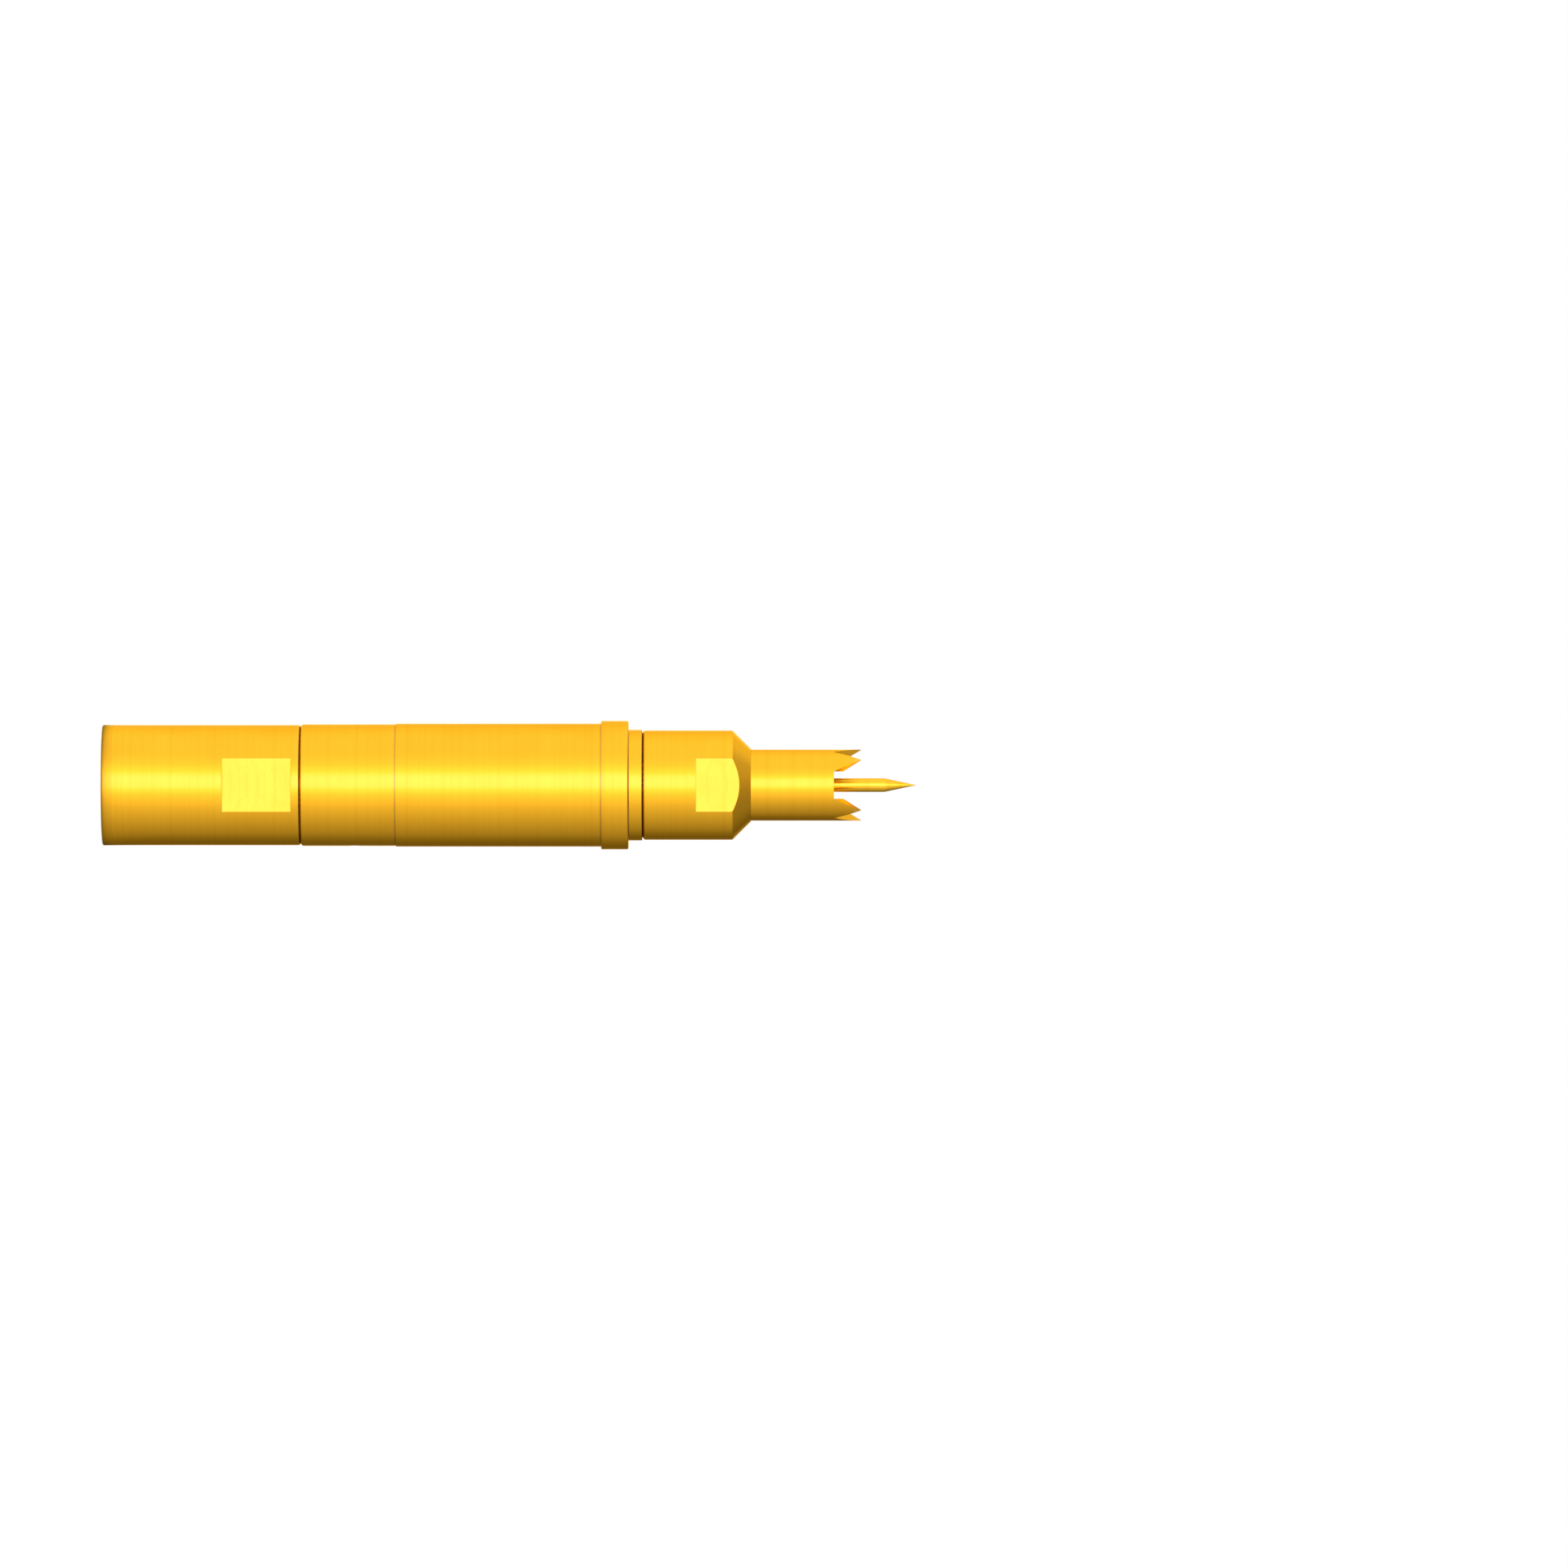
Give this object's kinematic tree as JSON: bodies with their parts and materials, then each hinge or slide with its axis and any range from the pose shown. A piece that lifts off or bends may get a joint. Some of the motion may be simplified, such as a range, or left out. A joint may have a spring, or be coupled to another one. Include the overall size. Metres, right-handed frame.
{
  "type": "rf test probe",
  "caption": "Slim gold-plated coaxial test probe with a spring-loaded toothed crown, a sprung pointed centre pin and a push-on jack at the rear.",
  "frame": {"origin": "centre of the connector's rear face, the lowest point when the probe stands on it", "axes": "+Z along the probe's axis from the rear connector to the tip of the centre pin, -Y towards the wrench flats seen in the drawing, +X towards the staking hole"},
  "size_m": [0.0046, 0.0046, 0.0297],
  "materials": {
    "gold_plated_shell": "turned and gold plated, glossy",
    "gold_plated_crown": "milled and gold plated, glossy",
    "gold_plated_contact": "polished and gold plated",
    "plain_brass": "turned, bare",
    "spring_steel": "drawn bright",
    "white_insulator": "turned, waxy white"
  },
  "bodies": {
    "root": {"connector_body": "gold_plated_shell", "connector_insulator": "white_insulator", "connector_socket": "gold_plated_contact", "bead_insulator": "white_insulator", "clamp_ring": "plain_brass", "barrel": "gold_plated_shell", "front_cap": "gold_plated_shell", "spring_seat": "spring_steel", "dielectric_sleeve": "white_insulator", "pin_tube": "gold_plated_contact", "tube_plug": "gold_plated_contact", "crown_spring": "spring_steel", "pin_spring": "spring_steel"},
    "crown": {"crown_plunger": "gold_plated_crown", "crown_stop_ring": "gold_plated_crown", "thrust_washer": "spring_steel", "front_insulator": "white_insulator", "insulator_retainer": "gold_plated_crown"},
    "pin": {"centre_pin": "gold_plated_contact", "bias_ball": "spring_steel"}
  },
  "joints": [
    {"name": "crown_slide", "type": "slide", "parent": "root", "child": "crown", "axis": [0, 0, 1], "range_m": [-0.003, 0], "stiffness_N_per_m": 310, "springref_m": 0.0032, "deforming": ["crown_spring"]},
    {"name": "pin_slide", "type": "slide", "parent": "root", "child": "pin", "axis": [0, 0, 1], "range_m": [-0.005, 0], "stiffness_N_per_m": 110, "springref_m": 0.0031, "deforming": ["pin_spring"]}
  ]
}
